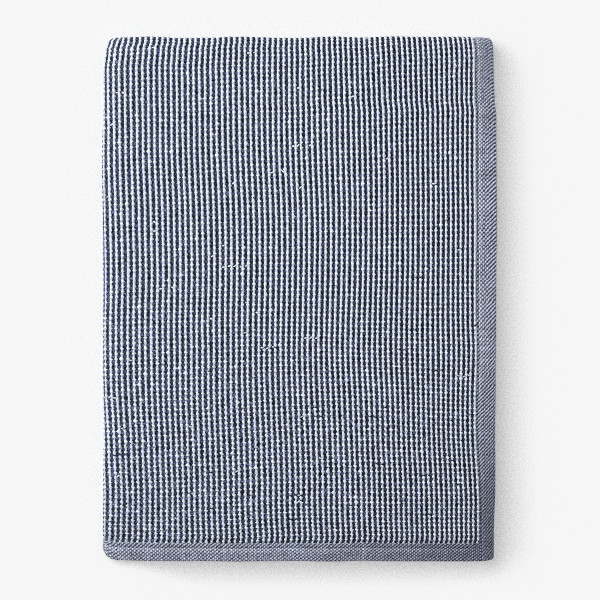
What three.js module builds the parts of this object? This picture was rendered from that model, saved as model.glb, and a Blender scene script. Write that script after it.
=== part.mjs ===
// A woven cotton blanket, folded in half across its width and then in half along its length.
// It lies flat: X runs across the ribs, Y along them and Z up, in millimetres.
// The left edge is the first fold and the top edge the second, so the right edge and the
// bottom edge are the free hems. The origin is the middle of the underside.

import * as THREE from 'three';

// The folded blanket seen from above
const foldedWidth = 380;
const foldedLength = 508;

// The cloth and its four layers
const clothThickness = 3.4;
const layerPitch = 5.2;
const sideHem = 19.5;
const endHem = 18;
const lowerSetBack = 3;

// Woven ribs on the face that shows
const ribCount = 70;
const ribPitchAtHem = 4.9;
const ribDepth = 1.4;
const hemDepth = 0.9;
const hemCrown = 0.4;
const hemStep = 1.2;

// How far in from its side edges the cloth is rounded off
const edgeRounding = clothThickness / 4;

// How near a fold the cloth is divided more finely, and into how many steps
const nearSideFold = 20;
const nearTopFold = 36;
const underHem = sideHem + 10;
const acrossSteps = { hem: 3, run: 5, nearFold: 3, fold: 7, pastFold: 2, lowerRun: 5 };
const alongSteps = { run: 8, nearFold: 2, fold: 8, lowerRun: 5 };

// How far the edges of the stack sink, as a share of its height, and how far in that reaches
const sink = {
  leftFold: { share: 0.22, reach: 18 },
  topFold: { share: 0.12, reach: 24 },
  rightHem: { share: 0.28, reach: 30 },
  endHem: { share: 0.28, reach: 28 },
};
const swell = { share: 0.03, across: 240, along: 310 };

// How far each side strays outwards (+) or inwards (-), by the distance down from the top fold
const sideLine = [
  { down: 0, left: -7, right: -3.6 },
  { down: 5, left: -4.2, right: -3 },
  { down: 13, left: -2.2, right: -2.6 },
  { down: 33, left: -0.4, right: -2 },
  { down: 60, left: 0, right: -1.7 },
  { down: 75, left: 0.2, right: 0.2 },
  { down: 170, left: 0.4, right: 1.2 },
  { down: 260, left: 0, right: 0.6 },
  { down: 390, left: -0.2, right: 0.2 },
  { down: 440, left: 0, right: -1.3 },
  { down: 480, left: 0.4, right: -2.3 },
  { down: 508, left: 0.8, right: -2.4 },
];

// How far the top and bottom edges stray outwards, by the distance across from the left fold
const endLine = [
  { across: 0, top: -2, bottom: -13 },
  { across: 2, top: -1.6, bottom: -7.8 },
  { across: 5, top: -1.4, bottom: -4.4 },
  { across: 9, top: -1.3, bottom: -1.8 },
  { across: 16, top: -0.8, bottom: 0 },
  { across: 42, top: 1.2, bottom: 0.7 },
  { across: 86, top: -1.6, bottom: -0.3 },
  { across: 128, top: 1.3, bottom: 0.7 },
  { across: 184, top: -0.6, bottom: -0.8 },
  { across: 228, top: 1.2, bottom: 0.4 },
  { across: 252, top: -0.5, bottom: -0.8 },
  { across: 300, top: -1.6, bottom: 0.7 },
  { across: 346, top: 1.2, bottom: -0.2 },
  { across: 370, top: 0.3, bottom: -0.3 },
  { across: 377, top: -0.2, bottom: -1 },
  { across: 380, top: -2.4, bottom: -3 },
];

// Radii of the two folds, from the middle of the bend to the middle and outside of what it bends
const sideFoldRadius = layerPitch / 2;
const sideFoldOuter = sideFoldRadius + clothThickness / 2;
const topFoldRadius = layerPitch;
const topFoldOuter = topFoldRadius + sideFoldOuter;

// Lengths along the outside of the cloth, from its free hem round each fold
const sideRun = foldedWidth - sideFoldOuter;
const sideFoldLength = Math.PI * sideFoldOuter;
const clothWidth = 2 * sideRun + sideFoldLength - lowerSetBack;
const topRun = foldedLength - topFoldOuter;
const topFoldLength = Math.PI * topFoldOuter;
const clothLength = 2 * topRun + topFoldLength - lowerSetBack;

const lerp = THREE.MathUtils.lerp;
const smoothstep = THREE.MathUtils.smoothstep;

// A value between the rows of a table, eased so that it has no corners
function readTable(table, place, value, at) {
  const last = table.length - 1;
  const inside = THREE.MathUtils.clamp(at, table[0][place], table[last][place]);
  const next = Math.max(1, table.findIndex((row) => row[place] >= inside));
  const from = table[next - 1];
  const to = table[next];
  return lerp(from[value], to[value], smoothstep(inside, from[place], to[place]));
}

// Evenly spaced values from one place to another, without the first
function stepsTo(from, to, count) {
  return Array.from({ length: count }, (_, step) => lerp(from, to, (step + 1) / count));
}

// Crests and valleys of the ribs, from the side hem to the end of the first fold.
// The ribs widen evenly towards the fold.
function ribPoints() {
  const start = sideHem + hemStep;
  const length = sideRun + sideFoldLength - start;
  const meanPitch = length / ribCount;
  const widening = (2 * (meanPitch - ribPitchAtHem)) / (ribCount - 1);
  const points = [];
  let place = start;
  for (let rib = 0; rib < ribCount; rib += 1) {
    const pitch = ribPitchAtHem + widening * rib;
    points.push({ across: place + pitch / 2, depth: 0 });
    points.push({ across: place + pitch, depth: ribDepth });
    place += pitch;
  }
  return points;
}

// The outer face of the flat cloth, from its first side hem to its second
function outerFace() {
  const foldEnd = sideRun + sideFoldLength;
  const lowerSteps = acrossSteps.lowerRun + 1;
  const lowerRun = stepsTo(foldEnd, clothWidth - edgeRounding, lowerSteps);
  return [
    { across: edgeRounding, depth: hemDepth },
    { across: sideHem / 2, depth: hemDepth - hemCrown },
    { across: sideHem, depth: ribDepth },
    ...ribPoints(),
    ...lowerRun.map((across) => ({ across, depth: 0 })),
  ];
}

// The inner face of the flat cloth, finer where it bends
function innerFace() {
  const foldEnd = sideRun + sideFoldLength;
  return [
    edgeRounding,
    ...stepsTo(edgeRounding, underHem, acrossSteps.hem),
    ...stepsTo(underHem, sideRun - nearSideFold, acrossSteps.run),
    ...stepsTo(sideRun - nearSideFold, sideRun, acrossSteps.nearFold),
    ...stepsTo(sideRun, foldEnd, acrossSteps.fold),
    ...stepsTo(foldEnd, foldEnd + nearSideFold, acrossSteps.pastFold),
    ...stepsTo(foldEnd + nearSideFold, clothWidth - edgeRounding, acrossSteps.lowerRun),
  ];
}

// The flat cloth's section as a chain of points along each face, meeting at both side edges.
// x is the distance across the cloth and y the distance out of its middle. Both are rounded
// as a geometry's attributes are, so that walls and ends made apart meet exactly.
function sectionFaces() {
  const half = clothThickness / 2;
  const point = (across, out) => new THREE.Vector2(Math.fround(across), Math.fround(out));
  const firstEdge = point(0, 0);
  const secondEdge = point(clothWidth, 0);
  const outer = outerFace().map(({ across, depth }) => point(across, half - depth));
  const inner = innerFace().map((across) => point(across, -half));
  return {
    outer: [firstEdge, ...outer, secondEdge],
    inner: [firstEdge, ...inner, secondEdge],
  };
}

// Distances along the cloth at which its section is repeated
function sectionPlaces() {
  const foldEnd = topRun + topFoldLength;
  return [
    0,
    endHem - hemStep,
    endHem,
    ...stepsTo(endHem, topRun - nearTopFold, alongSteps.run),
    ...stepsTo(topRun - nearTopFold, topRun, alongSteps.nearFold),
    ...stepsTo(topRun, foldEnd, alongSteps.fold),
    ...stepsTo(foldEnd, clothLength, alongSteps.lowerRun),
  ];
}

// The walls of the flat cloth: its section extruded from one place to the next
function extrudeWalls(faces, places) {
  const outline = [...faces.outer, ...faces.inner.slice(1, -1).reverse()];
  const steps = places.length - 1;
  const sheet = new THREE.ExtrudeGeometry(new THREE.Shape(outline), {
    depth: steps,
    steps,
    bevelEnabled: false,
  });
  const walls = sheet.groups[1];
  const position = sheet.getAttribute('position');
  const corners = [];
  for (let index = walls.start; index < walls.start + walls.count; index += 1) {
    corners.push(new THREE.Vector3().fromBufferAttribute(position, index));
  }
  return corners;
}

// One end of the flat cloth, laced in short triangles between the chains of its two faces
function laceEnd(faces, step, facesForward) {
  const corners = [];
  const place = (point) => new THREE.Vector3(point.x, point.y, step);
  const triangle = (a, b, c) => {
    const turned = facesForward ? [a, b, c] : [a, c, b];
    corners.push(...turned.map(place));
  };
  const { outer, inner } = faces;
  let top = 1;
  let under = 1;
  triangle(outer[0], inner[1], outer[1]);
  while (top < outer.length - 2 || under < inner.length - 2) {
    const takeTop = under === inner.length - 2
      || (top < outer.length - 2 && outer[top + 1].x <= inner[under + 1].x);
    if (takeTop) {
      triangle(outer[top], inner[under], outer[top + 1]);
      top += 1;
    } else {
      triangle(outer[top], inner[under], inner[under + 1]);
      under += 1;
    }
  }
  triangle(outer[top], inner[under], outer[top + 1]);
  return corners;
}

// Distance out of the cloth's middle. The woven relief of the outer face gives way to the
// flat end hem, and fades out round the second fold, so that the underside is flat.
function outOfMiddle(flat, along) {
  const half = clothThickness / 2;
  const isOuterFace = flat.y > 0;
  if (!isOuterFace) return flat.y;
  if (along < endHem) return half - hemDepth;
  const faded = smoothstep(along, topRun + topFoldLength / 2, topRun + topFoldLength);
  return half - (half - flat.y) * (1 - faded);
}

// The first fold, round the left edge: a height above or below the doubled cloth's middle
function foldAcross(across, out) {
  const radius = sideFoldRadius + out;
  const centre = -foldedWidth / 2 + sideFoldOuter;
  if (across <= sideRun) return { x: foldedWidth / 2 - across, height: radius };
  const past = across - sideRun - sideFoldLength;
  if (past >= 0) return { x: centre + past, height: -radius };
  const turn = (across - sideRun) / sideFoldOuter;
  return { x: centre - radius * Math.sin(turn), height: radius * Math.cos(turn) };
}

// The second fold, of the doubled cloth round the top edge: a height above the surface
function foldAlong(along, height) {
  const radius = topFoldRadius + height;
  const centre = foldedLength / 2 - topFoldOuter;
  if (along <= topRun) return { y: along - foldedLength / 2, z: topFoldOuter + radius };
  const past = along - topRun - topFoldLength;
  if (past >= 0) return { y: centre - past, z: topFoldOuter - radius };
  const turn = (along - topRun) / topFoldOuter;
  return { y: centre + radius * Math.sin(turn), z: topFoldOuter + radius * Math.cos(turn) };
}

// Share of the stack's height that is left at a place, with its sunken edges and soft swells
function settledShare(x, y) {
  const left = x + foldedWidth / 2;
  const right = foldedWidth / 2 - x;
  const top = foldedLength / 2 - y;
  const bottom = y + foldedLength / 2;
  const kept = ({ share, reach }, distance) => 1 - share * (1 - smoothstep(distance, 0, reach));
  const wave = Math.sin((left / swell.across) * 2 * Math.PI) * Math.sin((top / swell.along) * 2 * Math.PI);
  return kept(sink.leftFold, left) * kept(sink.rightHem, right)
    * kept(sink.topFold, top) * kept(sink.endHem, bottom) * (1 + swell.share * wave);
}

// The place in the settled blanket of a point of the flat cloth
function settle(flat, along) {
  const out = outOfMiddle(flat, along);
  const { x, height } = foldAcross(flat.x, out);
  const { y, z } = foldAlong(along, height);
  const across = x + foldedWidth / 2;
  const down = foldedLength / 2 - y;
  const left = -readTable(sideLine, 'down', 'left', down);
  const right = readTable(sideLine, 'down', 'right', down);
  const top = readTable(endLine, 'across', 'top', across);
  const bottom = -readTable(endLine, 'across', 'bottom', across);
  return new THREE.Vector3(
    x + lerp(left, right, across / foldedWidth),
    y + lerp(top, bottom, down / foldedLength),
    z * settledShare(x, y),
  );
}

// The whole cloth as one closed body, folded and settled
function foldedCloth() {
  const faces = sectionFaces();
  const places = sectionPlaces();
  const corners = [
    ...extrudeWalls(faces, places),
    ...laceEnd(faces, 0, false),
    ...laceEnd(faces, places.length - 1, true),
  ];
  const settled = corners.map((corner) => settle(corner, places[Math.round(corner.z)]));
  const geometry = new THREE.BufferGeometry().setFromPoints(settled);
  geometry.computeVertexNormals();
  return geometry;
}

// Stands a geometry on the surface with its middle over the origin
function centreOnSurface(geometry) {
  geometry.computeBoundingBox();
  const box = geometry.boundingBox;
  const middle = box.getCenter(new THREE.Vector3());
  return geometry.translate(-middle.x, -middle.y, -box.min.z);
}

function makeBlanket() {
  const cotton = new THREE.MeshStandardMaterial({ color: 0x969daa, roughness: 0.95, metalness: 0 });
  const mesh = new THREE.Mesh(centreOnSurface(foldedCloth()), cotton);
  mesh.name = 'blanket';
  return mesh;
}

const foldedBlanket = new THREE.Group();
foldedBlanket.add(makeBlanket());

export default foldedBlanket;
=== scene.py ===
import math
from types import SimpleNamespace

import bmesh
import bpy
import numpy as np
from mathutils import Matrix, Vector


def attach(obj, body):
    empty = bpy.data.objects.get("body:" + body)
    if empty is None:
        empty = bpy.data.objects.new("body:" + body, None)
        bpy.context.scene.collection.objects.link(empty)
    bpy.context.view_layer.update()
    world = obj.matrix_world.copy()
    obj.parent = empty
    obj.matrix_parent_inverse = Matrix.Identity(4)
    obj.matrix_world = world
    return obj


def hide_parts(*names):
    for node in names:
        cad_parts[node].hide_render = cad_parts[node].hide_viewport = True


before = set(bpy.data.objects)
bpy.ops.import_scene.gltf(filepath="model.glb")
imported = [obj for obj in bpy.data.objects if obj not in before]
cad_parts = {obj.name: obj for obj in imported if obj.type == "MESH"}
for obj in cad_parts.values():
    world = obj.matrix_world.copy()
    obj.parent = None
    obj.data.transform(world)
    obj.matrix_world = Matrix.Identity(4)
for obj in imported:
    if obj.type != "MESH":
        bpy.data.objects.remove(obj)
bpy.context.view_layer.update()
rng = np.random.default_rng(31)

# Places on the cloth are in millimetres. Across runs over it from the free side hem to the left
# fold and on underneath, along runs from the free end hem up and round the top fold, and out
# is the height over the middle of the cloth.
cloth = {
    "foldedWidth": 380,
    "foldedLength": 508,
    "thickness": 3.4,
    "layerPitch": 5.2,        # from the middle of one layer to the middle of the next
    "setBack": 3,             # how far the lower layers stop short
    "sideHem": 17.6,
    "endHem": 18,
    "flat": (0.762, 1.024),   # metres, before it was folded
    "centring": (-0.252, -0.292),     # brings the settled stack over the origin
}
halfThick = cloth["thickness"] / 2
sideRadius = cloth["layerPitch"] / 2
sideOuter = sideRadius + halfThick
topRadius = cloth["layerPitch"]
topOuter = topRadius + sideOuter
sideRun = cloth["foldedWidth"] - sideOuter
sideArc = math.pi * sideOuter
topRun = cloth["foldedLength"] - topOuter
topArc = math.pi * topOuter
clothWidth = 2 * sideRun + sideArc - cloth["setBack"]
clothLength = 2 * topRun + topArc - cloth["setBack"]

# How far the sides stray outwards, by the distance down from the top fold: down, left, right
sideLine = [
    (0, -5.4, -2.4), (5, -2.8, -1.8), (13, -0.7, -1.4), (33, 1.2, -1.1), (60, 1.4, -0.2),
    (75, 1.6, 1.5), (125, 2.6, 1.7), (170, 2, 2), (260, 1.5, 1.3), (330, 1.7, 0.8), (390, 0.8, 0.3),
    (416, 1.4, 0.5), (440, 1.3, 0.4), (480, 1.8, -1), (508, 2.2, -0.7),
]
# How far the ends stray outwards, by the distance from the left fold: across, top, bottom
endLine = [
    (0, 0, -12.4), (2, 0.5, -7.2), (5, 0.8, -3.2), (9, 1.1, -0.8), (16, 1.4, 0.5),
    (42, 2.2, 0.9), (75, 0.8, 0.6), (98, 1, 0.6), (128, 2, 1.1), (184, 0.7, 0.5), (222, 2.3, 1.1),
    (252, 1.3, 0.3), (285, 2.5, 0.9), (308, 2, 1), (346, 1.9, 1.1), (370, 1.5, 1.1), (377, 0.9, 0.2),
    (380, -1.4, -2),
]
# How the edges of the stack sink: share of the height, and how far in it reaches
sinks = {"left": (0.22, 18), "top": (0.12, 24), "right": (0.28, 30), "end": (0.28, 28)}
# the corner between the left fold and the end hem: share lost, how far it goes along each side
cornerSink = {"lost": 0.66, "across": (18, 78), "along": (0, 62)}
hemCornerSink = {"lost": 0.2, "across": (10, 110), "along": (0, 30)}   # the corner between the hems
hemRise = {"all": 0.03, "low": 0.13, "across": (0, 70), "along": (60, 320)}   # the side hem lies higher
swell = {"share": 0.03, "across": 240, "along": 310}
keptHeight = 0.55             # the share of its height that a yarn on top keeps as the stack sinks
# the sides draw in at the top fold, and the end hem at the left corner, within these distances
corners = {"top": 6, "topShare": (0.015, 0.06), "end": 16, "endReach": 26}

# How the ribs wander to the right, and how the rows of beads rise, over five lines of the cloth
wanderAcross = [29, 108, 191, 279, 368]
wanderEnds = (420, 640)       # where the ribs run straight again, on the underside
ribWander = {
    25: (4.2, 5.5, 5.3, 4.9, 4.7),
    59: (2.8, 3.4, 3, 3, 5.4),
    83: (1.5, 2.6, 2.8, 2.7, 4.7),
    108: (0.1, 1.4, 1.9, 1.6, 3.4),
    156: (-0.8, 0.1, 0, 0.3, 1.3),
    205: (0.1, -2, -1.2, 0.3, 0.2),
    229: (-0.8, -1.9, -0.9, -0.1, 0.1),
    278: (-1.2, -0.8, 0, 0.7, 1),
    327: (-1.4, -0.8, 0.2, 0.3, 0.4),
    375: (-1.7, -0.7, -1.2, -0.9, -0.3),
    424: (-1.5, -1.5, -2.8, -2.6, -1.6),
    467: (-0.2, -1.8, -2.4, -2.7, -2.5),
    485: (0.3, -2.2, -2.7, -3.2, -2.7),
    502: (-0.4, -3.5, -4, -3.7, -2.7),
    513: (-1.5, -3.9, -4.3, -4, -2.6),
}
rowRise = {
    50: (4.4, 3.8, 3.6, 1, 0),
    88: (5.3, 6.2, 6.3, 3, 0),
    127: (4, 7, 7, 2.8, 0),
    166: (1.5, 4.8, 5, 2.2, 0),
    205: (0.8, 2, 4, 2.5, 0),
    244: (0.5, 1, 2.8, 2, 0),
    283: (3, 2, 3.2, 2, 0),
    361: (8.5, 5.5, 4, 2.2, 0),
    438: (14, 9.2, 6.2, 3, 0),
    477: (13, 8.5, 5, 2.2, 0),
}


def smooth(value, low, high):
    share = np.clip((np.asarray(value, float) - low) / (high - low), 0, 1)
    return share * share * (3 - 2 * share)


def eased(table, column, at):
    # a value between the rows of a table, eased so that it has no corners
    places = np.array([row[0] for row in table], float)
    values = np.array([row[column] for row in table], float)
    at = np.clip(at, places[0], places[-1])
    after = np.clip(np.searchsorted(places, at), 1, len(places) - 1)
    share = smooth((at - places[after - 1]) / (places[after] - places[after - 1]), 0, 1)
    return values[after - 1] + (values[after] - values[after - 1]) * share


def lineThrough(places, values, at):
    # a smooth line through values, which are numbers or one row of numbers for each place
    places = np.asarray(places, float)
    values = np.asarray(values, float)
    slopes = np.gradient(values, places, axis=0)
    at = np.clip(at, places[0], places[-1])
    index = np.clip(np.searchsorted(places, at, side="right") - 1, 0, len(places) - 2)
    gap = places[index + 1] - places[index]
    t = (at - places[index]) / gap
    if values.ndim == 1:
        low, high = values[index], values[index + 1]
        lowSlope, highSlope = slopes[index] * gap, slopes[index + 1] * gap
    else:
        own = np.arange(len(at))
        low, high = values[index, own], values[index + 1, own]
        lowSlope, highSlope = slopes[index, own] * gap, slopes[index + 1, own] * gap
    turn = t * t * (3 - 2 * t)
    return low + (high - low) * turn + lowSlope * t * (1 - t) ** 2 - highSlope * t * t * (1 - t)


# Painted shade: the yarns get darker along and across the cloth, towards the free end and the free side,
# where the light falls off
shadeFalloffAlong = [(0, 0.80), (52, 0.84), (113, 0.89), (173, 0.925), (233, 0.935), (354, 0.96), (474, 1)]
shadeFalloffAcross = [(0, 0.94), (80, 0.95), (130, 0.985), (190, 0.99), (380, 1)]


def between(table, at):
    return np.interp(at, *np.array(table, float).T)


def paintedFalloff(across, along):
    return between(shadeFalloffAcross, across) * between(shadeFalloffAlong, along)


def overCloth(table, across, along):
    lines = np.array([lineThrough(wanderAcross, row, across) for row in table.values()])
    return lineThrough(list(table), lines, along)


def settledShare(x, y):
    left = x + cloth["foldedWidth"] / 2
    right = cloth["foldedWidth"] / 2 - x
    top = cloth["foldedLength"] / 2 - y
    end = y + cloth["foldedLength"] / 2
    share = 1 + swell["share"] * (
        np.sin(left / swell["across"] * 2 * math.pi) * np.sin(top / swell["along"] * 2 * math.pi)
    )
    for side, distance in (("left", left), ("right", right), ("top", top), ("end", end)):
        lost, reach = sinks[side]
        share = share * (1 - lost * (1 - smooth(distance, 0, reach)))
    atCorner = (1 - smooth(left, *cornerSink["across"])) * (1 - smooth(end, *cornerSink["along"]))
    share = share * (1 - cornerSink["lost"] * atCorner)
    atHems = (1 - smooth(end, *hemCornerSink["along"])) * (1 - smooth(right, *hemCornerSink["across"]))
    share = share * (1 - hemCornerSink["lost"] * atHems)
    rise = hemRise["all"] + hemRise["low"] * (1 - smooth(end, *hemRise["along"]))
    return share * (1 + rise * (1 - smooth(right, *hemRise["across"])))


def layOnFolds(across, along, out):
    # the place in the folded and settled blanket, in metres, of points of the flat cloth
    across, along, out = np.broadcast_arrays(across, along, out)
    held = smooth(across, 0, cloth["sideHem"]) * (1 - smooth(across, *wanderEnds))
    across = across - overCloth(ribWander, across, along) * held
    width, length = cloth["foldedWidth"], cloth["foldedLength"]
    radius = sideRadius + out
    turn = np.clip((across - sideRun) / sideOuter, 0, math.pi)
    past = np.maximum(across - sideRun - sideArc, 0) - np.minimum(across - sideRun, 0)
    x = sideOuter - width / 2 + past - radius * np.sin(turn)
    facing = np.cos(turn)
    radius = topRadius + radius * facing
    turn = np.clip((along - topRun) / topOuter, 0, math.pi)
    past = np.maximum(along - topRun - topArc, 0) - np.minimum(along - topRun, 0)
    y = length / 2 - topOuter - past + radius * np.sin(turn)
    z = topOuter + radius * np.cos(turn)
    facing = facing * np.cos(turn)
    fromLeft = (x + width / 2) / width
    down = length / 2 - y
    # the corners round off near the sides only
    reach, near = corners["top"], corners["topShare"]
    left = -eased(sideLine, 1, np.maximum(down, reach * smooth(fromLeft, *near)))
    right = eased(sideLine, 2, np.maximum(down, reach * smooth(1 - fromLeft, *near)))
    top = eased(endLine, 1, fromLeft * width)
    bottom = -eased(endLine, 2, np.maximum(fromLeft * width, corners["end"]))
    corner = -eased(endLine, 2, fromLeft * width) - bottom
    share = settledShare(x, y)
    z = z * share + np.maximum(out, 0) * np.maximum(facing, 0) * keptHeight * (1 - share)
    x = x + left + (right - left) * fromLeft + cloth["centring"][0]
    y = y + top + (bottom - top) * down / length + cloth["centring"][1]
    y = y + corner * smooth(down, length - corners["endReach"], length)
    return np.stack([x, y, z], axis=1) * 0.001


# Tubes: every cord and hem band starts as a straight closed tube that is then laid on the cloth

tubeSpacing = 4


def straightTube(sides, rings):
    bm = bmesh.new()
    stand = Matrix.Translation((0, rings / 2, 0)) @ Matrix.Rotation(math.pi / 2, 4, "X")
    bmesh.ops.create_cone(
        bm, cap_ends=True, segments=sides, radius1=1, radius2=1, depth=rings, matrix=stand
    )
    lengthways = [e for e in bm.edges if abs(e.verts[0].co.y - e.verts[1].co.y) > 0.5]
    bmesh.ops.subdivide_edges(bm, edges=lengthways, cuts=rings - 1, use_grid_fill=True)
    mesh = bpy.data.meshes.new("straightTube")
    bm.to_mesh(mesh)
    bm.free()
    return mesh


def tubeRow(name, sides, rings, count):
    # a row of tubes, and for each of its points the tube, the corner of its section and the ring
    piece = bpy.data.objects.new(name, straightTube(sides, rings))
    bpy.context.scene.collection.objects.link(piece)
    row = piece.modifiers.new("row", "ARRAY")
    row.use_relative_offset = False
    row.use_constant_offset = True
    row.constant_offset_displace = (tubeSpacing, 0, 0)
    row.count = count
    bpy.context.view_layer.update()
    shown = piece.evaluated_get(bpy.context.evaluated_depsgraph_get())
    mesh = bpy.data.meshes.new_from_object(shown)
    piece.modifiers.clear()
    piece.data = mesh
    mesh.name = name
    points = np.zeros(len(mesh.vertices) * 3)
    mesh.vertices.foreach_get("co", points)
    points = points.reshape(-1, 3)
    tube = np.round(points[:, 0] / tubeSpacing).astype(int)
    angle = np.arctan2(points[:, 2], points[:, 0] - tubeSpacing * tube) - math.pi / 2
    corner = np.round(angle / (2 * math.pi / sides)).astype(int) % sides
    ring = np.round(points[:, 1]).astype(int)
    return piece, tube, corner, ring


def place(piece, points, **attributes):
    mesh = piece.data
    mesh.vertices.foreach_set("co", points.astype(np.float32).ravel())
    for name, values in attributes.items():
        flat = values.ndim == 1
        layer = mesh.attributes.new(name, "FLOAT" if flat else "FLOAT_VECTOR", "POINT")
        layer.data.foreach_set("value" if flat else "vector", values.astype(np.float32).ravel())
    mesh.shade_smooth()
    mesh.update()
    return piece


def finishPiece(piece, material):
    piece.data.materials.clear()
    piece.data.materials.append(material)
    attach(piece, "root")
    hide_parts("blanket")
    return piece


# Materials

def addNode(tree, kind, settings=None, **inputs):
    node = tree.nodes.new(kind)
    for name, value in (settings or {}).items():
        setattr(node, name, value)
    for name, value in inputs.items():
        socket = node.inputs[int(name[1:])] if name[1:].isdigit() else node.inputs[name]
        if isinstance(value, bpy.types.NodeSocket):
            tree.links.new(value, socket)
        else:
            socket.default_value = value
    return node


def maths(tree, operation, first, second=0.0, third=0.0):
    node = addNode(tree, "ShaderNodeMath", {"operation": operation}, _0=first, _1=second, _2=third)
    return node.outputs[0]


def blendColours(tree, share, first, second, how="MIX"):
    node = addNode(
        tree, "ShaderNodeMix", {"data_type": "RGBA", "blend_type": how}, _0=share, _6=first, _7=second
    )
    return node.outputs[2]


def readAttribute(tree, name, output):
    return addNode(tree, "ShaderNodeAttribute", {"attribute_name": name}).outputs[output]


def cottonShader(name, roughness=0.92, sheen=0.12, gloss=0.25):
    material = bpy.data.materials.new(name)
    material.use_nodes = True
    tree = material.node_tree
    shader = tree.nodes["Principled BSDF"]
    shader.inputs["Roughness"].default_value = roughness
    shader.inputs["Specular IOR Level"].default_value = gloss
    shader.inputs["Sheen Weight"].default_value = sheen
    shader.inputs["Sheen Roughness"].default_value = 0.5
    return material, tree, shader


yarn = {
    # the dark fibres: their share of the yarn, and how sharply they stand apart
    "white": {
        "light": (0.875, 0.94, 1, 1), "dark": (0.41, 0.485, 0.655, 1),
        "share": 0.20, "contrast": 3.2, "sheen": 0.10, "gloss": 0.2,
    },
    "navy": {
        "light": (0.068, 0.083, 0.152, 1), "dark": (0.001, 0.0023, 0.009, 1),
        "share": 0.58, "contrast": 3.8, "sheen": 0.0, "gloss": 0.05,
    },
    "plies": 3,
    "twist": 3.4,             # mm for one turn
    "fluff": 1.1,             # mm, the size of the fibre clumps
}


def cordMaterial(name, dye):
    # a twisted cotton yarn: strand holds the share round it, mm along it and its number
    material, tree, shader = cottonShader(name, sheen=dye["sheen"], gloss=dye["gloss"])
    strand = readAttribute(tree, "strand", "Vector")
    parts = addNode(tree, "ShaderNodeSeparateXYZ", _0=strand)
    turns = maths(tree, "MULTIPLY_ADD", parts.outputs[0], yarn["plies"],
                  maths(tree, "DIVIDE", parts.outputs[1], yarn["twist"]))
    ply = maths(tree, "SINE", maths(tree, "MULTIPLY", turns, 2 * math.pi))
    # one turn is about 3 mm round, and every cord gets fibres of its own
    stretch = addNode(tree, "ShaderNodeVectorMath", {"operation": "MULTIPLY"}, _0=strand, _1=(3, 1, 9.7))
    fluff = addNode(tree, "ShaderNodeTexNoise", Vector=stretch.outputs[0], Scale=1 / yarn["fluff"],
                    Detail=3, Roughness=0.65).outputs["Fac"]
    worn = addNode(tree, "ShaderNodeTexNoise", Vector=stretch.outputs[0], Scale=0.16, Detail=1)
    clumps = maths(tree, "MULTIPLY", maths(tree, "SUBTRACT", 0.5, fluff), dye["contrast"])
    # the twist paints shade in the grooves between the plies and light on their crowns
    shading = maths(tree, "MULTIPLY_ADD", ply, -0.10, maths(tree, "ADD", clumps, dye["share"]))
    patches = maths(tree, "MULTIPLY_ADD", worn.outputs["Fac"], 0.10, -0.05)
    shading = maths(tree, "ADD", shading, patches)
    share = addNode(tree, "ShaderNodeClamp", _0=shading).outputs[0]
    own = blendColours(tree, share, dye["light"], dye["dark"])
    # tone carries the painted shade and light laid on in cordTone as well as the yarn's random tone
    tone = readAttribute(tree, "tone", "Fac")
    grey = addNode(tree, "ShaderNodeCombineColor", _0=tone, _1=tone, _2=tone)
    shaded = blendColours(tree, 1.0, own, grey.outputs[0], "MULTIPLY")
    tree.links.new(shaded, shader.inputs["Base Color"])
    height = maths(tree, "MULTIPLY_ADD", ply, 0.35, fluff)
    bump = addNode(tree, "ShaderNodeBump", Strength=0.6, Distance=0.00035, Height=height)
    tree.links.new(bump.outputs[0], shader.inputs["Normal"])
    return material


hemWeave = {
    # mm from yarn to yarn across the side hem, which narrows towards the top, and along it
    "sidePitch": [
        (0, 2.4), (45, 2.3), (75, 1.95), (100, 1.85), (235, 1.84), (332, 1.77), (410, 1.7),
        (455, 1.73), (490, 1.92),
    ],
    "sidePick": [
        (0, 1.83), (99, 1.80), (157, 1.87), (235, 2.04), (332, 2.03), (410, 1.95), (455, 1.73),
        (490, 1.65), (560, 1.7),
    ],
    # and from yarn to yarn along the end hem and across it
    "endPick": [(0, 1.91), (120, 1.92), (200, 1.95), (300, 1.99), (400, 2.06)],
    "endPitch": [(0, 1.45), (120, 1.50), (200, 1.62), (300, 1.68), (400, 1.80)],
    "relief": 0.42,           # mm from the lowest to the highest point of a yarn
    "white": (0.715, 0.772, 0.925, 1),
    "navy": (0.0114, 0.016, 0.043, 1),
    "threshold": (-1.08, 1.57),   # where the pattern is all navy and where it is all white
    # how clear the weave is, by the distance along the side hem and in from the edge of the end hem
    "sideCrisp": [
        (0, 0.48), (44, 0.5), (97, 0.8), (155, 0.98), (233, 0.89), (330, 1.06), (408, 0.95),
        (454, 0.81), (487, 0.6), (528, 0.48),
    ],
    "endCrisp": [(0, 0.86), (11, 0.9), (14, 0.95), (18, 0.85)],
    # painted shade, with more of the navy showing: darker to the free corner, by the distance along the
    # side hem and across the end hem
    "sideShadeAndNavy": [
        (0, 0.60), (40, 0.52), (78, 0.62), (117, 0.80), (156, 0.88), (200, 1.02), (440, 1.04),
        (500, 0.95),
    ],
    "endShadeAndNavy": [
        (16, 0.50), (50, 0.56), (90, 0.65), (128, 0.73), (168, 0.78), (206, 0.90), (245, 0.90),
        (325, 0.83), (370, 0.95),
    ],
    # and in from their free edges: painted shade down to the edge and in the groove at the stitching, a
    # painted highlight on the shoulder
    "sideShadeProfile": [
        (0, 0.73), (5, 0.80), (9, 0.91), (12, 1.0), (14, 1.06), (15.2, 1.1), (16, 0.66), (18.2, 0.55),
    ],
    "endShadeProfile": [
        (0, 0.85), (3, 0.92), (7, 0.94), (9, 1.08), (11, 1.12), (12, 1.3), (13.4, 0.62), (14.4, 0.9),
        (18, 0.95),
    ],
}


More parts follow.
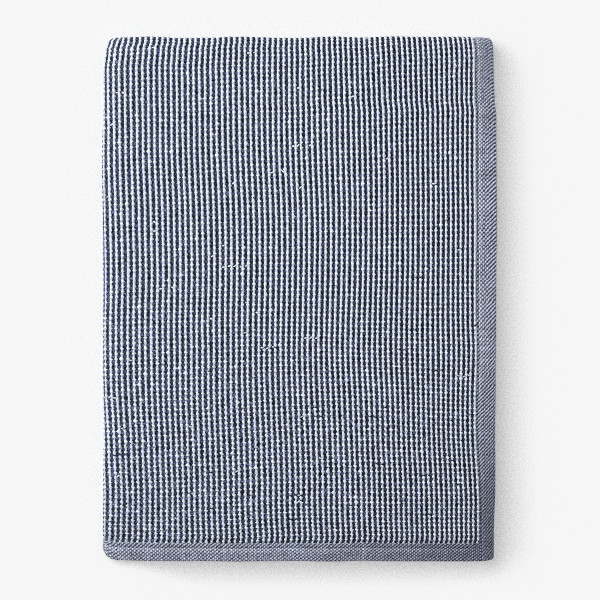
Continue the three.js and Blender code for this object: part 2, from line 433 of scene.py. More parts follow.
def navyToWhite(tree, pattern, low, high):
    # the yarn that shows: navy where the pattern is low and white where it is high
    share = addNode(
        tree, "ShaderNodeMapRange", {"interpolation_type": "SMOOTHSTEP"}, _0=pattern, _1=low, _2=high
    )
    return blendColours(tree, share.outputs[0], hemWeave["navy"], hemWeave["white"])


def hemMaterial(name):
    # plain weave: picks holds the yarn number each way and how far the floats lean
    material, tree, shader = cottonShader(name)
    picks = readAttribute(tree, "picks", "Vector")
    parts = addNode(tree, "ShaderNodeSeparateXYZ", _0=picks)
    across, along, lean = parts.outputs
    up = maths(tree, "COSINE", maths(tree, "MULTIPLY", maths(tree, "SUBTRACT", across, along), math.pi))
    down = maths(tree, "COSINE", maths(tree, "MULTIPLY", maths(tree, "ADD", across, along), math.pi))
    leant = maths(tree, "MULTIPLY_ADD", maths(tree, "SUBTRACT", up, down), lean, down)
    # dark gaps between the yarns that run along the hem
    gaps = maths(tree, "COSINE", maths(tree, "MULTIPLY", across, 2 * math.pi))
    leant = maths(tree, "MULTIPLY_ADD", gaps, maths(tree, "MULTIPLY_ADD", lean, 0.6, 0.12), leant)
    leant = maths(tree, "MULTIPLY", leant, readAttribute(tree, "crisp", "Fac"))
    fibres = addNode(tree, "ShaderNodeTexNoise", Vector=picks, Scale=1.1, Detail=3, Roughness=0.7)
    wide = addNode(tree, "ShaderNodeTexNoise", Vector=picks, Scale=0.12, Detail=2)
    tone = readAttribute(tree, "tone", "Fac")
    grain = maths(tree, "MULTIPLY_ADD", fibres.outputs["Fac"], 2.2, -1.1)
    # where a hem is darker it is also more of the navy yarn that shows
    darker = maths(tree, "SUBTRACT", tone, 1)
    pattern = maths(tree, "MULTIPLY_ADD", darker, 0.7, maths(tree, "ADD", leant, grain))
    base = navyToWhite(tree, pattern, *hemWeave["threshold"])
    patchesAndShade = addNode(tree, "ShaderNodeMapRange", _0=wide.outputs["Fac"], _1=0.3, _2=0.7, _3=0.86, _4=1.1)
    # the tone carries painted shade, which darkens the hem colour
    patchesAndShade = maths(tree, "MULTIPLY", patchesAndShade.outputs[0], maths(tree, "SQRT", tone))
    grey = addNode(tree, "ShaderNodeCombineColor", _0=patchesAndShade, _1=patchesAndShade, _2=patchesAndShade)
    shaded = blendColours(tree, 1.0, base, grey.outputs[0], "MULTIPLY")
    tree.links.new(shaded, shader.inputs["Base Color"])
    height = maths(tree, "MULTIPLY_ADD", fibres.outputs["Fac"], 0.8, leant)
    bump = addNode(tree, "ShaderNodeBump", Strength=0.5, Distance=0.0002, Height=height)
    tree.links.new(bump.outputs[0], shader.inputs["Normal"])
    return material


# Ribs: white and navy cords side by side, which rise and dip in turn under the cross threads

ribs = {
    "whites": 73,
    "firstBead": 1.0,         # mm along the cloth, under the end hem
    "lastBead": 536,
    "topBead": 104,           # the number of the last one before the top fold
    "fadeFrom": 517,          # mm along, on the top fold
    "fadeTo": 533,
}
# Where the white ribs run across the cloth, by number, and the length of a bead by its place along
ribCrest = [
    (0, 19.2), (1, 23.7), (10, 66.6), (20, 116.9), (30, 169.1), (40, 222.2), (50, 276.9), (60, 331.9),
    (66, 365.8), (68, 376.8), (69, 382.7), (72, 400),
]
beadLength = [
    (0, 4.2), (40, 4.4), (70, 4.75), (110, 5), (250, 5), (400, 4.95), (440, 5.1), (465, 5.1),
    (482, 4.75), (490, 4.4), (500, 4.2), (545, 4.3),
]
navyFalloffShade = [(0, 0.6), (100, 0.64), (190, 0.78), (290, 0.9), (380, 1.12)]   # painted shade: the navy ribs darker towards the free side, where the light falls off, by place

# The four rings of a bead from its middle upwards, near the top fold and near the free end: how far
# the yarn reaches to each side as a share of the rib pitch, and the shade painted on its sides and its
# top (painted light where a value is below nought).
# The outline holds the corners of the section: how far sideways, as a share of that reach, and how
# far up from the foot to the crest.
white = {
    "sides": 6,
    "outline": ([0.5, 1, 0.85, -0.85, -1, -0.5], [1, 0.45, 0, 0, 0.45, 1]),
    "left": ([0.385, 0.350, 0.335, 0.340], [0.385, 0.325, 0.235, 0.210]),
    "right": ([0.235, 0.095, 0.045, 0.070], [0.300, 0.085, 0.125, 0.170]),
    "shadeLeft": ([0.12, 0.22, 0.50, 0.40], [0.03, 0.15, 0.38, 0.42]),
    "shadeTop": ([0, 0.05, 0.08, 0.04], [0, 0.08, 0.12, 0.10]),
    "shadeRight": ([0, 0.25, 0.30, 0.25], [0, 0.25, 0.25, 0.15]),
    "crest": (1.45, 0.36),    # mm: its mean height, and how far the beads rise and dip from it
    "foot": -0.15,
    "phase": 0.0,             # in beads
    "grain": -1,              # how like its neighbours a ring is, from 1 to -1
    "ragged": 0.026,          # of the rib pitch
    "tones": (0.01, 0.08, 0.18, 0.02),   # by bead, by ring, by point, and by row of beads
    "lightest": 1.01,
}
navy = {
    "sides": 5,
    "outline": ([0.3, 0.9, 1, -1, -0.6], [1, 0.55, 0, 0, 0.85]),
    "left": ([0.270, 0.420, 0.450, 0.410], [0.270, 0.470, 0.410, 0.360]),
    "right": ([0.270, 0.270, 0.300, 0.290], [0.270, 0.300, 0.380, 0.420]),
    "shadeLeft": ([0.50, 0.95, 0.70, 0.60], [0.50, 0.80, 0.45, 0.40]),
    "shadeTop": ([1.05, 0.35, -0.30, -0.08], [1.05, 0.33, -0.40, -0.36]),
    "shadeRight": ([0, -0.50, -1.35, -1.30], [0.10, -0.40, -1.10, -1.10]),
    "crest": (0.80, 0.34),
    "foot": -0.15,
    "phase": 0.5,
    "grain": 0.5,
    "ragged": 0.026,
    "tones": (0.04, 0.20, 0.40, 0.04),
    "lightest": 5,
}
# How uneven the cords are: first waves, with their size in mm and the rings that they span
uneven = {
    "rows": ((0.65, 2), (0.75, 7)),   # the tone of a row of beads, as waves over the ribs
    "slide": (0.13, 3),       # along the cloth
    "aside": (0.05, 3),
    "drift": (0.08, 16),
    "plump": 0.05,            # share of the width, by bead
    "tip": 0.13,              # share of how far a bead reaches to the right
    "proud": 0.05,            # mm up or down, by bead
    "rough": 0.04,            # mm up or down, by ring
    "more": 0.4,              # how much more of it there is near the free end
    "moreFrom": (90, 340),
}
# here and there a white bead bulges over the navy beside it, or all but tears off below
slips = {
    "along": (30, 500),
    "bulge": 0.19,            # of the rib pitch
    # where it tears: the share of the width lost, mm lower, and the share of painted shade on the sunk
    # ring
    "narrow": 0.45,
    "sink": 0.55,
    "dark": 0.5,
}
# under the end hem the cords flatten, narrow and slant to the left, and at the top fold they sink
cordEnds = {
    "flat": (16, 20), "narrow": (18, 25), "narrower": 0.2, "slant": (16, 24), "aside": 1.2,
    "crest": -0.2, "foot": -0.25, "sunkCrest": -1.1, "sunkFoot": -0.8,
}
shadedSeam = {"across": (372, 380), "along": (230, 330), "lost": 0.12}   # the last rib at the left fold


def beadPlaces():
    # where bead number n begins along the cloth, at the left fold
    places = [ribs["firstBead"]]
    while places[-1] < ribs["lastBead"]:
        places.append(places[-1] + float(between(beadLength, places[-1])))
    return np.array(places)


crests = lineThrough(*np.array(ribCrest, float).T, np.arange(ribs["whites"]))
beads = beadPlaces()
ringsPerBead = 4


def wavering(count, steps, size, spread):
    # smooth random lines, one for each cord, by a running mean over its rings
    lines = rng.normal(0, 1, (count, steps + spread * 2))
    kernel = np.hanning(spread * 2 + 1)
    kernel = kernel / np.sqrt((kernel ** 2).sum())
    return np.array([np.convolve(line, kernel, "valid") for line in lines]) * size


def grainy(count, lines, rings, like):
    # random numbers for lines on each cord: neighbouring rings are like each other (1) or unlike (-1)
    values = rng.normal(0, 1, (count, lines, rings + 2))
    return (values[:, :, 1:] + like * values[:, :, :-1]) / math.sqrt(1 + like * like)


rowTones = sum(wavering(len(beads) + 1, ribs["whites"], *wave) for wave in uneven["rows"])


def perRing(form, name, at):
    # a table of the form at each point: its upper row, and its lower one near the free end
    upper, below = np.array(form[name])
    return upper[at.step] + (below[at.step] - upper[at.step]) * at.lower


def perBead(at):
    return rng.normal(0, 1, (at.count, len(beads) + 1))[at.tube, at.number]


def waves(name, at):
    size, spread = uneven[name]
    return wavering(at.count, at.rings + 1, size, spread)[at.tube, at.ring]


def cordPoints(form, first, count, rings, tube, corner, ring, centres, pitches):
    # for each point of a row of cords: its rib, its place and its share of what is uneven
    at = SimpleNamespace(count=count, rings=rings, tube=tube, corner=corner, ring=ring)
    at.rib = tube + first
    at.middle, at.pitch = centres[at.rib], pitches[at.rib]
    at.bead, at.step = ring / ringsPerBead, ring % ringsPerBead
    at.turn = 2 * math.pi * (at.bead - form["phase"])
    at.number = np.round(at.bead - form["phase"]).astype(int)
    along = np.interp(at.bead, np.arange(len(beads)), beads)
    at.along = along + overCloth(rowRise, at.middle, along) + waves("slide", at)
    at.sideways, at.lift = np.array(form["outline"])[:, corner]
    at.side = (at.sideways > 0).astype(int)
    at.big, at.proud, at.tip = perBead(at), perBead(at), perBead(at)
    at.aside = waves("aside", at) + waves("drift", at)
    at.rough = grainy(count, 1, rings, form["grain"])[tube, 0, ring]
    at.ragged = grainy(count, 2, rings, -1)[tube, at.side, ring]
    at.lower = 1 - smooth(at.along, *uneven["moreFrom"])
    at.more = 1 + uneven["more"] * at.lower
    at.torn = np.zeros(len(along))
    return at


def cordReach(form, at):
    # how far the cord lies aside, how far it reaches to each side and how high it stands
    left, right = perRing(form, "left", at), perRing(form, "right", at)
    right = right * (1 + uneven["tip"] * at.tip * (at.step == 0))
    plump = 1 + uneven["plump"] * at.big * np.cos(2 * math.pi * at.step / ringsPerBead)
    half = at.pitch * ((left + right) / 2 * plump + form["ragged"] * at.ragged * at.more)
    mean, swing = form["crest"]
    crest = mean + swing * np.cos(at.turn)
    crest = crest + uneven["proud"] * at.proud + uneven["rough"] * at.rough * at.more
    return at.pitch * (left - right) / 2, half, crest


def slipBeads(at, half, crest):
    # bulges come mostly near the left fold and the free end, tears near the free corner
    fromRight, low = at.rib / (ribs["whites"] - 1), np.clip(1 - at.bead / ribs["topBead"], 0, 1)
    start, end = slips["along"]
    inside = (at.along > start) & (at.along < end)
    odds = (0.008 + 0.014 * fromRight ** 4 + 0.012 * low ** 3) * inside
    bulging = rng.random((2, at.count, len(beads) + 1))[at.side, at.tube, at.number] < odds
    half = half + at.pitch * slips["bulge"] * bulging * (0.5 + 0.5 * np.cos(at.turn))
    odds = (0.004 + 0.09 * low ** 2.5 * (1 - 0.5 * fromRight)) * inside
    tearing = rng.random((at.count, len(beads) + 1))[at.tube, at.number] < odds
    at.torn = tearing * (at.step == 3)
    return half * (1 - slips["narrow"] * at.torn), crest - slips["sink"] * at.torn


def cordTone(form, at):
    byBead, byRing, byPoint, byRow = form["tones"]
    points = grainy(at.count, form["sides"], at.rings, form["grain"])[at.tube, at.corner, at.ring]
    tone = byBead * at.big + at.more * (byRing * at.rough + byPoint * points)
    tone = tone + byRow * rowTones[at.number, at.rib]
    # painted shade on the sides and top of each ring of a bead, and painted light where the table is
    # below nought
    shade = np.where(at.sideways > 0.7, perRing(form, "shadeLeft", at), perRing(form, "shadeTop", at))
    shade = np.where(at.sideways < -0.55, perRing(form, "shadeRight", at), shade)
    # painted shade towards the free end and the free side, where the light falls off
    tone = np.exp(tone - shade * np.exp(0.3 * at.proud)) * paintedFalloff(at.middle, at.along)
    # painted shade: the navy darker towards the free side
    if form is navy:
        tone = tone * between(navyFalloffShade, at.middle)
    else:
        # painted shade on torn rings, which sink, and on the last ribs at the left fold
        atSeam = smooth(at.middle, *shadedSeam["across"]) * smooth(at.along, *shadedSeam["along"])
        tone = tone * (1 - slips["dark"] * at.torn) * (1 - shadedSeam["lost"] * atSeam)
    return np.minimum(tone, form["lightest"])


def layCords(name, form, first, count, centres, pitches, material):
    rings = (len(beads) - 1) * ringsPerBead
    piece, tube, corner, ring = tubeRow(name, form["sides"], rings, count)
    at = cordPoints(form, first, count, rings, tube, corner, ring, centres, pitches)
    offset, half, crest = cordReach(form, at)
    if form is white:
        half, crest = slipBeads(at, half, crest)
    atHem = 1 - smooth(at.along, *cordEnds["flat"])
    sunk = smooth(at.along, ribs["fadeFrom"], ribs["fadeTo"])
    half = half * (1 - cordEnds["narrower"] * (1 - smooth(at.along, *cordEnds["narrow"])))
    crest = crest * (1 - atHem) + cordEnds["crest"] * atHem + cordEnds["sunkCrest"] * sunk
    foot = form["foot"] + cordEnds["foot"] * atHem + cordEnds["sunkFoot"] * sunk
    offset = offset + at.aside + cordEnds["aside"] * (1 - smooth(at.along, *cordEnds["slant"]))
    across = at.middle + offset + half * at.sideways
    points = layOnFolds(across, at.along, foot + (crest - foot) * at.lift)
    strand = np.stack([corner / form["sides"], at.along, at.rib + 0.0], axis=1)
    place(piece, points, strand=strand, tone=cordTone(form, at))
    return finishPiece(piece, material)


whiteYarn = cordMaterial("whiteYarn", yarn["white"])
navyYarn = cordMaterial("navyYarn", yarn["navy"])

ribPitches = np.gradient(crests)
gapMiddles = (crests[1:] + crests[:-1]) / 2
gapPitches = np.diff(crests)
rightCount = ribs["whites"] // 2
leftCount = ribs["whites"] - rightCount
cords = [
    layCords("whiteCordsRight", white, 0, rightCount, crests, ribPitches, whiteYarn),
    layCords("whiteCordsLeft", white, rightCount, leftCount, crests, ribPitches, whiteYarn),
    layCords("navyCordsRight", navy, 0, rightCount, gapMiddles, gapPitches, navyYarn),
    layCords("navyCordsLeft", navy, rightCount, leftCount - 1, gapMiddles, gapPitches, navyYarn),
]
print("cords laid:", len(beads), "beads long")


# Floats: short lengths of the cross threads that lie over a rib or two where the weave slips

floats = {
    "streaks": 210,
    "sides": 5,
    "rings": 4,
    "ribs": 69,               # those that show
    "firstBead": 7,
    # how much they differ: shares of the radius, the length and the light, mm aside and across
    # the float, and beads upwards
    "thick": 0.18, "long": 0.15, "tone": 0.10, "aside": 0.25, "tilt": 0.45, "up": 0.10,
    "taper": 0.35,
    "slant": -0.2,            # mm up at the left end
    "light": 0.92,
    "lightest": 1.05,
    "white": {"half": 1.5, "radius": 0.78, "ends": 0.70, "rise": 0.30},   # mm, over the navy ribs
    "navy": {"half": 1.4, "radius": 0.66, "ends": 0.80, "rise": 0.62},    # mm, over the white ribs
}


def chooseFloats():
    # rib and bead numbers: white floats mostly near the left fold, navy ones towards the free corner
    chosen = {"white": [], "navy": []}
    for _ in range(floats["streaks"]):
        rib = int(rng.integers(0, floats["ribs"]))
        bead = int(rng.integers(floats["firstBead"], ribs["topBead"]))
        reach = int(rng.geometric(0.55))
        left, low = rib / (floats["ribs"] - 1), 1 - bead / ribs["topBead"]
        odds = {
            "white": 0.07 + 0.5 * left ** 4 + 0.2 * low ** 5,
            "navy": 0.03 + 1.2 * low ** 3 * (1 - 0.5 * left),
        }
        for colour, chance in odds.items():
            slip = rng.random(reach)
            if rng.random() < chance:
                crossed = [rib + step for step in range(reach) if slip[step] < 0.8]
                chosen[colour] += [(over, bead) for over in crossed if over < floats["ribs"]]
    return chosen


def layFloats(name, size, places, centres, material):
    piece, tube, corner, ring = tubeRow(name, floats["sides"], floats["rings"], len(places))
    places = np.array(places)
    rib, bead = places[tube].T
    count = len(places)
    shift, level, tilt, long, thick = rng.normal(0, 1, (5, count))[:, tube]
    middle = centres[rib]
    along = np.interp(bead + 0.5 + floats["up"] * level, np.arange(len(beads)), beads)
    along = along + overCloth(rowRise, middle, along)
    t = ring / floats["rings"] * 2 - 1
    angle = 2 * math.pi * corner / floats["sides"]
    radius = size["radius"] * (1 + floats["thick"] * thick) * (1 - floats["taper"] * t * t)
    reach = size["half"] * (1 + floats["long"] * long)
    across = middle + floats["aside"] * shift + reach * t
    along = along - radius * np.sin(angle) + t * (floats["tilt"] * tilt + floats["slant"])
    out = size["ends"] + size["rise"] * (1 - t * t) + radius * np.cos(angle)
    tone = floats["light"] * np.exp(floats["tone"] * rng.normal(0, 1, count)[tube])
    # painted shade: the floats darken towards the free end and the free side like the cords
    tone = np.minimum(tone * paintedFalloff(across, along), floats["lightest"])
    strand = np.stack([corner / floats["sides"], across, tube + 0.5], axis=1)
    place(piece, layOnFolds(across, along, out), strand=strand, tone=tone)
    return finishPiece(piece, material)


chosen = chooseFloats()
crossings = [
    layFloats("whiteFloats", floats["white"], chosen["white"], gapMiddles, whiteYarn),
    layFloats("navyFloats", floats["navy"], chosen["navy"], crests, navyYarn),
]
print("floats laid:", len(chosen["white"]), "white and", len(chosen["navy"]), "navy")


# Hems: plain weave, each hem one closed band that is rounded over its free edge

hemShape = {
    "columns": 34,            # lines over the flat part of a band's section
    "ringsPerYarn": 3,
    "overlap": 0.6,           # mm, the side hem over the first cord
    "sideStart": 0.25,
    "endStart": cloth["sideHem"] - 1.2,
    "sidePast": 14,           # mm that the bands go on behind the folds
    "endPast": 30,
    # the side hem's corner: mm that it is rounded over, how much lower it gets and mm drawn in
    "corner": 1.6, "cornerLower": 0.45, "cornerIn": 0.25,
}
# How far the yarns lie out of line, in yarns and in how many rings or lines a wave spans: along the
# band, then over its section. The last ones are for the tone.
hemWaves = {
    "sideAcross": ((0.09, 6), (0.05, 2)),
    "sideAlong": ((0.09, 4), (0.08, 3)),
    "endAcross": ((0.09, 3), (0.08, 3)),
    "endAlong": ((0.10, 6), (0.04, 2)),
    "tone": ((0.08, 1), (0.05, 1)),
}


def sideLean(distance, along):
    # the floats join into slanting lines, but stand apart in the inner half further up
    return 0.15 + 0.3 * smooth(distance, 6, 12) * smooth(along, 110, 300)


def hemWave(name, rings, ring, columns, corner):
    alongBand, overSection = hemWaves[name]
    waves = wavering(1, rings + 1, *alongBand)[0][ring]
    return waves + wavering(1, columns, *overSection)[0][corner]


def countPicks(table, at):
    # how many yarns lie before a place, where their spacing follows the table
    places = np.arange(0, table[-1][0] + 1.0)
    spacing = between(table, places)
    return np.interp(at, places, np.concatenate([[0], np.cumsum(1 / spacing[:-1])]))


def weaveHeight(acrossPick, alongPick, lean):
    up = np.cos(math.pi * (acrossPick - alongPick))
    down = np.cos(math.pi * (acrossPick + alongPick))
    return up * lean + down * (1 - lean)


def bandSection(inner, samples, top):
    # the section from its inner foot over the top, round the free edge and back inside:
    # distance in from the edge, height, and share of the weave's relief
    flat = np.linspace(inner - 0.5, 1.1, samples)
    rows = [(inner + 0.25, -0.35, 0), (inner, 0.1, 0.2)]
    rows += [(distance, top(distance), 1.0) for distance in flat]
    rows += [(0.45, 0.35, 0.6), (0.05, -0.35, 0.4), (0.05, -0.95, 0.3), (0.5, -1.5, 0.2)]
    rows += [(1.5, -1.72, 0), (4.5, -1.72, 0), (4.5, -0.6, 0)]
    section = np.array(rows)
    # the way over the section from its inner foot, also as a distance in from the edge
    steps = np.hypot(*np.diff(section[:, :2], axis=0).T)
    run = inner - np.concatenate([[0], np.cumsum(steps)])
    return np.column_stack([section, run])


def sideTop(distance):
    return 0.82 + 0.35 * smooth(distance, 7, 14) - 0.95 * smooth(distance, 15, 16.4)


def endTop(distance):
    groove = np.exp(-((distance - 13.4) / 0.7) ** 2)
    return 0.95 + 0.1 * smooth(distance, 4, 11) - 0.45 * groove - 0.2 * smooth(distance, 13.4, 14.4)


def laySideHem(material):
    section = bandSection(cloth["sideHem"] + hemShape["overlap"], hemShape["columns"], sideTop)
    length = topRun + topArc + hemShape["sidePast"]
    rings = int(countPicks(hemWeave["sidePick"], length) * hemShape["ringsPerYarn"])
    piece, _, corner, ring = tubeRow("sideHemBand", len(section), rings, 1)
    band = (rings, ring, len(section), corner)
    distance, height, share, run = section[corner].T
    along = hemShape["sideStart"] + ring * length / rings
    acrossPick = run / between(hemWeave["sidePitch"], along) + hemWave("sideAcross", *band)
    alongPick = countPicks(hemWeave["sidePick"], along) + hemWave("sideAlong", *band)
    lean = sideLean(distance, along)
    relief = weaveHeight(acrossPick, alongPick, lean) * share * hemWeave["relief"] / 2
    rounding = 1 - smooth(along, 0, hemShape["corner"])
    height = height * (1 - hemShape["cornerLower"] * rounding) + relief
    points = layOnFolds(distance + hemShape["cornerIn"] * rounding, along, height)
    picks = np.stack([acrossPick, alongPick, lean], axis=1)
    # painted shade and light across the side hem, darker towards the free corner
    tone = between(hemWeave["sideShadeAndNavy"], along) * between(hemWeave["sideShadeProfile"], distance)
    tone = tone * np.exp(hemWave("tone", *band))
    place(piece, points, picks=picks, tone=tone, crisp=between(hemWeave["sideCrisp"], along))
    piece.data.flip_normals()     # its section runs the other way round than a cord's
    return finishPiece(piece, material)


def layEndHem(material):
    section = bandSection(cloth["endHem"], hemShape["columns"], endTop)
    start = hemShape["endStart"]
    length = sideRun + sideArc + hemShape["endPast"] - start
    rings = int(countPicks(hemWeave["endPick"], start + length) * hemShape["ringsPerYarn"])
    piece, _, corner, ring = tubeRow("endHemBand", len(section), rings, 1)
    band = (rings, ring, len(section), corner)
    distance, height, share, run = section[corner].T
    across = start + ring * length / rings
    acrossPick = countPicks(hemWeave["endPick"], across) + hemWave("endAcross", *band)
    alongPick = run / between(hemWeave["endPitch"], across) + hemWave("endAlong", *band)
    lean = 0.42 - 0.16 * smooth(distance, 12.8, 13.8)
    relief = weaveHeight(acrossPick, alongPick, lean) * share * hemWeave["relief"] / 2
    points = layOnFolds(across, distance, height + relief)
    picks = np.stack([acrossPick, alongPick, lean], axis=1)
    # painted shade and light across the end hem, darker towards the free corner
    tone = between(hemWeave["endShadeAndNavy"], across) * between(hemWeave["endShadeProfile"], distance)
    tone = tone * np.exp(hemWave("tone", *band))
    place(piece, points, picks=picks, tone=tone, crisp=between(hemWeave["endCrisp"], distance))
    return finishPiece(piece, material)


hemCotton = hemMaterial("hemCotton")
hems = [laySideHem(hemCotton), layEndHem(hemCotton)]
print("hems laid")


# The cloth under the cords: it carries them and shows at the underside and the inner layers

ground = {
    # the lines of its grid by number, closest at the folds and the edges: number, place in mm
    "columns": [
        (0, 0), (3, 1.7), (6, 19.5), (40, 375.7), (52, 389.2), (56, 410), (88, 742), (91, 760.2),
        (94, 761.9),
    ],
    "rows": [
        (0, 0), (3, 1.7), (6, 18), (56, 480), (60, 498.5), (80, 528.4), (86, 560), (128, 1006),
        (131, 1022.1), (134, 1023.8),
    ],
    "edge": 1.7,              # mm in from its edges that are rounded, to this half thickness
    "edgeHalf": 0.25,
    # how high its upper side lies: where it shows, in its hems, and low under the cords
    "open": 1.35, "hem": 0.8, "covered": -0.12,
    "coveredTo": {"across": (392, 396), "along": (514, 528)},
    "tuck": 1.6,              # mm that its edge stays inside the hem bands
    "bandsTo": {"across": (405, 412), "along": (528, 536)},
    "pitch": (5.4, 5),        # mm from rib to rib and from bead to bead past the cords
    "pick": (1.95, 1.75),
}


def clothMaterial(name):
    # ribs, beads and hems as on the cords, from the places in the attribute called weave
    material, tree, shader = cottonShader(name)
    weave = readAttribute(tree, "weave", "Vector")
    parts = addNode(tree, "ShaderNodeSeparateXYZ", _0=weave)
    rib, row, hem = parts.outputs
    across = maths(tree, "COSINE", maths(tree, "MULTIPLY", rib, 2 * math.pi))
    beading = maths(tree, "COSINE", maths(tree, "MULTIPLY", row, 2 * math.pi))
    ribbed = maths(tree, "MULTIPLY_ADD", beading, 0.35, across)
    picks = readAttribute(tree, "picks", "Vector")
    pick = addNode(tree, "ShaderNodeSeparateXYZ", _0=picks)
    one = maths(tree, "COSINE", maths(tree, "MULTIPLY", pick.outputs[0], math.pi))
    two = maths(tree, "COSINE", maths(tree, "MULTIPLY", pick.outputs[1], math.pi))
    plain = maths(tree, "MULTIPLY", one, two)
    swap = maths(tree, "GREATER_THAN", hem, 0.5)
    mixed = addNode(tree, "ShaderNodeMix", {"data_type": "FLOAT"}, _0=swap, _2=ribbed, _3=plain)
    pattern = mixed.outputs[0]
    fibres = addNode(tree, "ShaderNodeTexNoise", Vector=picks, Scale=1.1, Detail=3, Roughness=0.7)
    grain = maths(tree, "MULTIPLY_ADD", fibres.outputs["Fac"], 1.0, -0.5)
    base = navyToWhite(tree, maths(tree, "ADD", pattern, grain), -0.25, 0.45)
    tree.links.new(base, shader.inputs["Base Color"])
    height = maths(tree, "MULTIPLY_ADD", fibres.outputs["Fac"], 0.5, pattern)
    bump = addNode(tree, "ShaderNodeBump", Strength=0.7, Distance=0.0006, Height=height)
    tree.links.new(bump.outputs[0], shader.inputs["Normal"])
    return material


def within(reach, across, along):
    return (1 - smooth(across, *reach["across"])) * (1 - smooth(along, *reach["along"]))


def layCloth(material):
    columns, rows = ground["columns"], ground["rows"]
    ribPitch, beadPitch = ground["pitch"]
    hemPitch, hemPick = ground["pick"]
    bm = bmesh.new()
    bmesh.ops.create_grid(
        bm, x_segments=columns[-1][0], y_segments=rows[-1][0], size=1,
        matrix=Matrix.Diagonal((columns[-1][0] / 2, rows[-1][0] / 2, 1, 1)),
    )
    bmesh.ops.translate(bm, verts=bm.verts, vec=(columns[-1][0] / 2, rows[-1][0] / 2, 0))
    bmesh.ops.solidify(bm, geom=bm.faces[:], thickness=1)
    # solidify leaves its vertices and faces in an order that changes from run to run
    order = Vector((1, 1000, 1000000))
    bm.verts.sort(key=lambda vert: vert.co.dot(order))
    bm.faces.sort(key=lambda face: face.calc_center_median().dot(order))
    mesh = bpy.data.meshes.new("blanketCloth")
    bm.to_mesh(mesh)
    bm.free()
    piece = bpy.data.objects.new("blanketCloth", mesh)
    bpy.context.scene.collection.objects.link(piece)
    points = np.zeros(len(mesh.vertices) * 3)
    mesh.vertices.foreach_get("co", points)
    points = points.reshape(-1, 3)
    across = between(columns, np.round(points[:, 0]))
    along = between(rows, np.round(points[:, 1]))
    outer = points[:, 2] > np.mean(points[:, 2])
    rib = np.interp(across, crests, np.arange(len(crests)))
    rib = np.where(across > crests[-1], len(crests) - 1 + (across - crests[-1]) / ribPitch, rib)
    row = np.interp(along, beads, np.arange(len(beads)))
    row = np.where(along > beads[-1], len(beads) - 1 + (along - beads[-1]) / beadPitch, row)
    fromEdge = np.minimum(across, clothWidth - across)
    fromEdge = np.minimum(fromEdge, np.minimum(along, clothLength - along))
    inside = np.clip(fromEdge / ground["edge"], 0, 1)
    rounded = ground["edgeHalf"] + (halfThick - ground["edgeHalf"]) * np.sqrt(1 - (1 - inside) ** 2)
    inHem = np.minimum(across, clothWidth - across) < cloth["sideHem"] + 0.1
    inHem = inHem | (np.minimum(along, clothLength - along) < cloth["endHem"] + 0.1)
    covered = within(ground["coveredTo"], across, along)
    top = np.where(inHem, ground["hem"], ground["open"])
    top = top * (1 - covered) + ground["covered"] * covered
    height = np.where(outer, np.minimum(rounded, top), -rounded)
    tuck = ground["tuck"] * within(ground["bandsTo"], across, along)
    across = across + tuck * (1 - smooth(across, 0, 3))
    along = along + tuck * (1 - smooth(along, 0, 3))
    weave = np.stack([rib, row, inHem.astype(float)], axis=1)
    picks = np.stack([across / hemPitch, along / hemPick, np.zeros(len(across))], axis=1)
    place(piece, layOnFolds(across, along, height), weave=weave, picks=picks)
    piece.data.flip_normals()     # across runs to the left, which turns the sheet inside out
    return finishPiece(piece, material)


blanketCloth = layCloth(clothMaterial("clothCotton"))
print("cloth laid")


# Floor, light and camera

studio = {
    "floorColour": (0.753, 0.753, 0.753, 1),
    "fill": 0.298,
    "overhead": 1.487,        # a lamp's strength is the light it gives to the floor
    "softbox": 1.43,          # the lamps of the softbox together
    # where the rows of lamps in the softbox hang, in lamp heights to the left and towards the top
    "lampsLeft": (0.3, 0.8, 1.35, 1.9, 2.6),
    "rowLight": (0.18, 0.235, 0.225, 0.185, 0.175),    # the share of each of these rows
    "lampsUp": (0.2, 0.75, 1.25, 1.8),
    "cameraHeight": 3.0,
    "pixel": 0.000972,
    "middle": (299.5, 298.8),
}


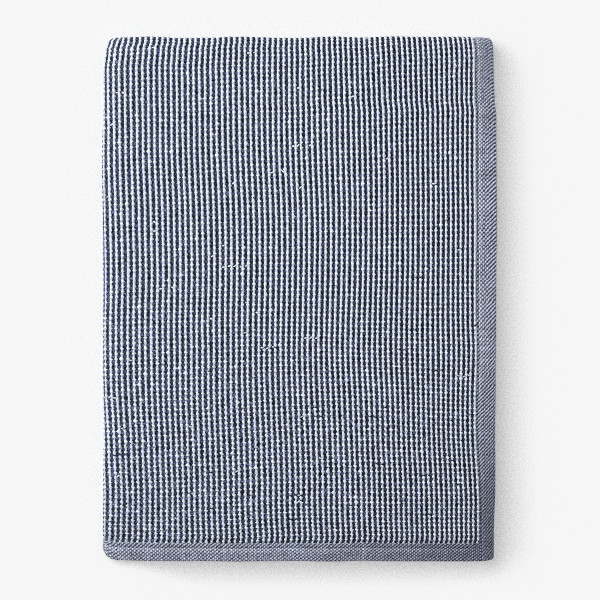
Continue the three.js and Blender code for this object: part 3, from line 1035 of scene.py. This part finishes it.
def layFloor():
    bm = bmesh.new()
    bmesh.ops.create_grid(bm, x_segments=1, y_segments=1, size=15)
    mesh = bpy.data.meshes.new("floor")
    bm.to_mesh(mesh)
    bm.free()
    floor = bpy.data.objects.new("floor", mesh)
    bpy.context.scene.collection.objects.link(floor)
    material = bpy.data.materials.new("floorPaint")
    material.use_nodes = True
    shader = material.node_tree.nodes["Principled BSDF"]
    shader.inputs["Base Color"].default_value = studio["floorColour"]
    shader.inputs["Roughness"].default_value = 1
    shader.inputs["Specular IOR Level"].default_value = 0
    mesh.materials.append(material)


def hangLamp(name, light, spread, left, up):
    lamp = bpy.data.lights.new(name, "SUN")
    towards = Vector((-left, up, 1)).normalized()
    lamp.energy = light / towards.z
    lamp.angle = math.radians(spread)
    sun = bpy.data.objects.new(name, lamp)
    sun.rotation_euler = towards.to_track_quat("Z", "Y").to_euler()
    bpy.context.scene.collection.objects.link(sun)


def setCamera():
    camera = bpy.data.objects.new("camera", bpy.data.cameras.new("camera"))
    bpy.context.scene.collection.objects.link(camera)
    height = studio["cameraHeight"]
    camera.data.sensor_width = 36
    camera.data.lens = 36 * (height - 0.012) / (600 * studio["pixel"])
    camera.data.clip_end = 60
    camera.location = (
        (300 - studio["middle"][0]) * studio["pixel"],
        (studio["middle"][1] - 300) * studio["pixel"],
        height,
    )
    bpy.context.scene.camera = camera


def lightStudio():
    world = bpy.data.worlds.new("studio")
    bpy.context.scene.world = world
    world.use_nodes = True
    background = world.node_tree.nodes["Background"]
    background.inputs["Color"].default_value = (1, 1, 1, 1)
    background.inputs["Strength"].default_value = studio["fill"]
    world.cycles.sampling_method = "NONE"     # an even sky: bounced rays find it without noise
    hangLamp("overheadLight", studio["overhead"], 14, 0.03, 0.03)
    for i, left in enumerate(studio["lampsLeft"]):
        each = studio["softbox"] * studio["rowLight"][i] / len(studio["lampsUp"])
        for j, up in enumerate(studio["lampsUp"]):
            # a little out of line, so that their shadows run together
            hangLamp(f"softboxLamp{i}{j}", each, 10, left + 0.13 * (j - 1.5), up + 0.1 * (i - 2))
    bpy.context.scene.view_settings.view_transform = "Standard"
    bpy.context.scene.view_settings.look = "None"
    bpy.context.scene.cycles.use_denoising = False
    bpy.context.scene.cycles.filter_width = 0.95


layFloor()
setCamera()
lightStudio()
print("studio set")
